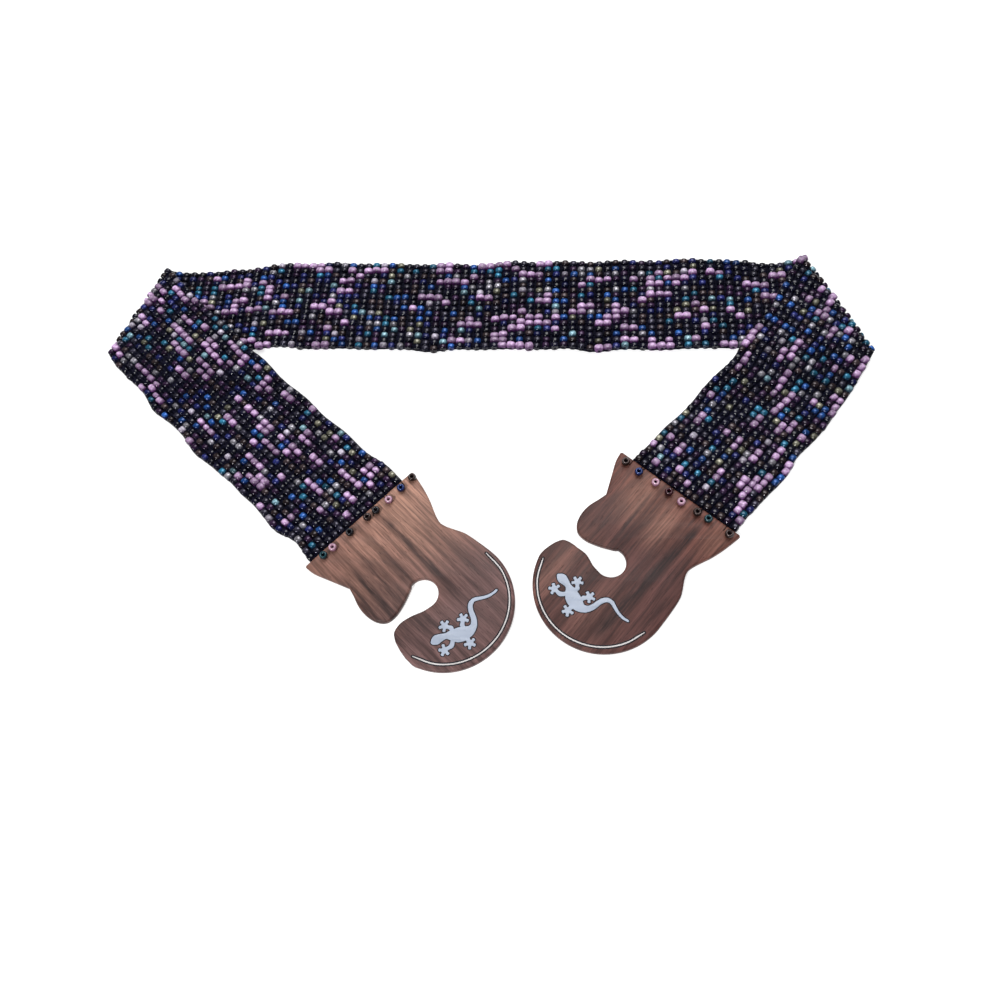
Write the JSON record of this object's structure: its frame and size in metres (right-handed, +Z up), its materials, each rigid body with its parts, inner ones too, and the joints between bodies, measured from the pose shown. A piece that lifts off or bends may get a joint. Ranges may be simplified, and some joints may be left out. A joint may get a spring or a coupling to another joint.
{
  "type": "beaded belt",
  "caption": "Loomed glass bead belt with wooden hook plates inlaid with a gecko and a rim line, lying flat with both arms folded over the middle.",
  "frame": {"origin": "middle of the underside of the belt as it lies, on the surface that it lies on", "axes": "+X along the middle of the band from the left fold to the right fold, +Y towards the back, away from the hook plates, +Z up"},
  "size_m": [0.3664, 0.2068, 0.0078],
  "materials": {
    "beads": "dark iridescent glass with pink, blue and teal among it",
    "wood": "satin reddish brown with dark streaks",
    "inlay": "pale blue-grey, satin",
    "rim_line": "near white, satin",
    "bead_brown": "dark brown gloss",
    "bead_blue": "dark blue gloss",
    "bead_pink": "milky pink gloss",
    "bead_black": "black gloss",
    "bead_teal": "dark teal gloss",
    "bead_garnet": "dark red gloss"
  },
  "bodies": {
    "root": {"beaded_band": "beads", "buckle_left": "wood", "gecko_left": "inlay", "rim_line_left": "rim_line", "stop_bead_left_1": "bead_brown", "stop_bead_left_2": "bead_blue", "stop_bead_left_3": "bead_pink", "stop_bead_left_4": "bead_black", "stop_bead_left_5": "bead_brown", "stop_bead_left_6": "bead_black", "stop_bead_left_7": "bead_pink", "stop_bead_left_8": "bead_teal", "buckle_right": "wood", "gecko_right": "inlay", "rim_line_right": "rim_line", "stop_bead_right_1": "bead_brown", "stop_bead_right_2": "bead_teal", "stop_bead_right_3": "bead_brown", "stop_bead_right_4": "bead_pink", "stop_bead_right_5": "bead_garnet", "stop_bead_right_6": "bead_pink", "stop_bead_right_7": "bead_blue", "stop_bead_right_8": "bead_brown"}
  },
  "joints": []
}
